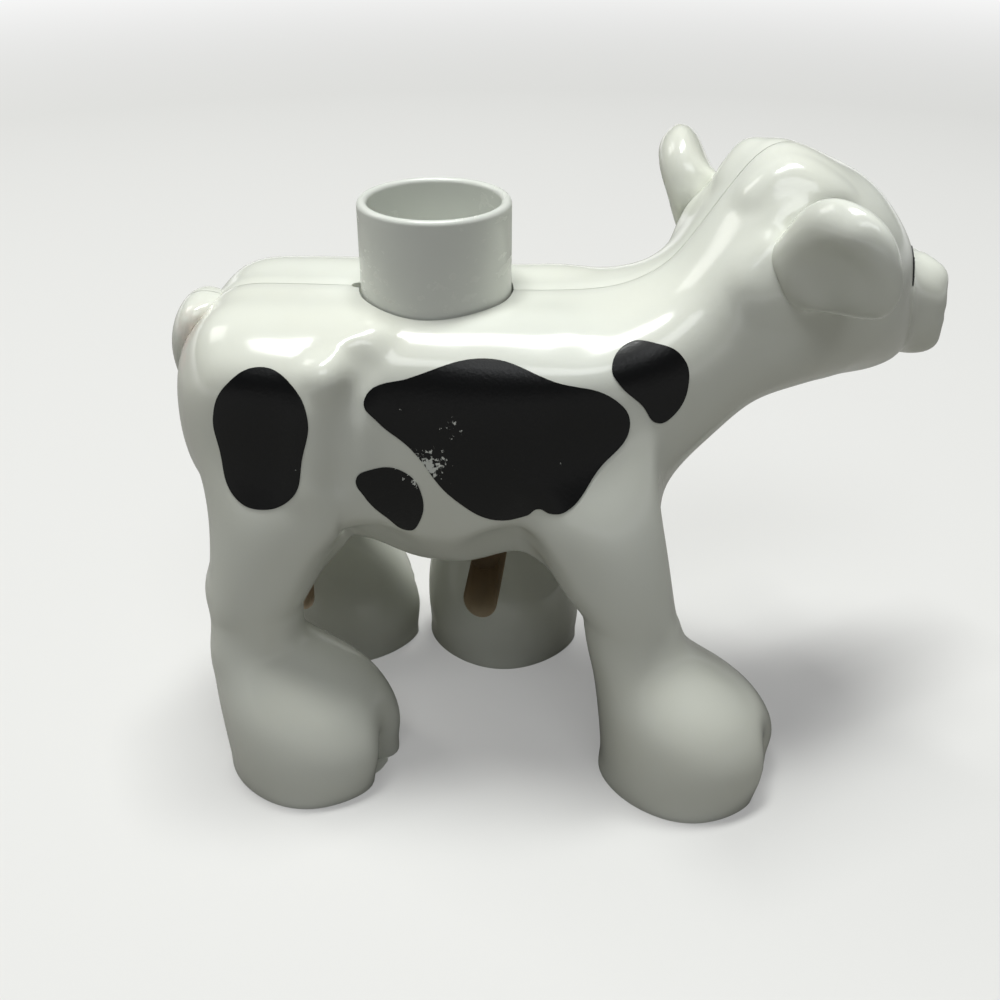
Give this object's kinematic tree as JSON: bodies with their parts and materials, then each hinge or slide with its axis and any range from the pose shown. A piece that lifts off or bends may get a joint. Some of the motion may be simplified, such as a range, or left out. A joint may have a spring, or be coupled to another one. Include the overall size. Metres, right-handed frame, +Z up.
{
  "type": "toy farm animal figure",
  "caption": "Hollow plastic toy calf that stands on flat soles, its head turned to its left, with an open round stud on its back for preschool building bricks.",
  "frame": {"origin": "on the floor, under the middle of the figure's footprint box", "axes": "+X towards the calf's front, +Y to the calf's left, +Z up"},
  "size_m": [0.0504, 0.0266, 0.0408],
  "materials": {
    "shell_plastic": "glossy moulded ABS, slightly warm white, printed with semi-gloss black patches",
    "stud_plastic": "glossy moulded ABS, a slightly greyer white than the shell"
  },
  "bodies": {
    "root": {"right_half_shell": "shell_plastic", "left_half_shell": "shell_plastic", "back_stud": "stud_plastic"}
  },
  "joints": []
}
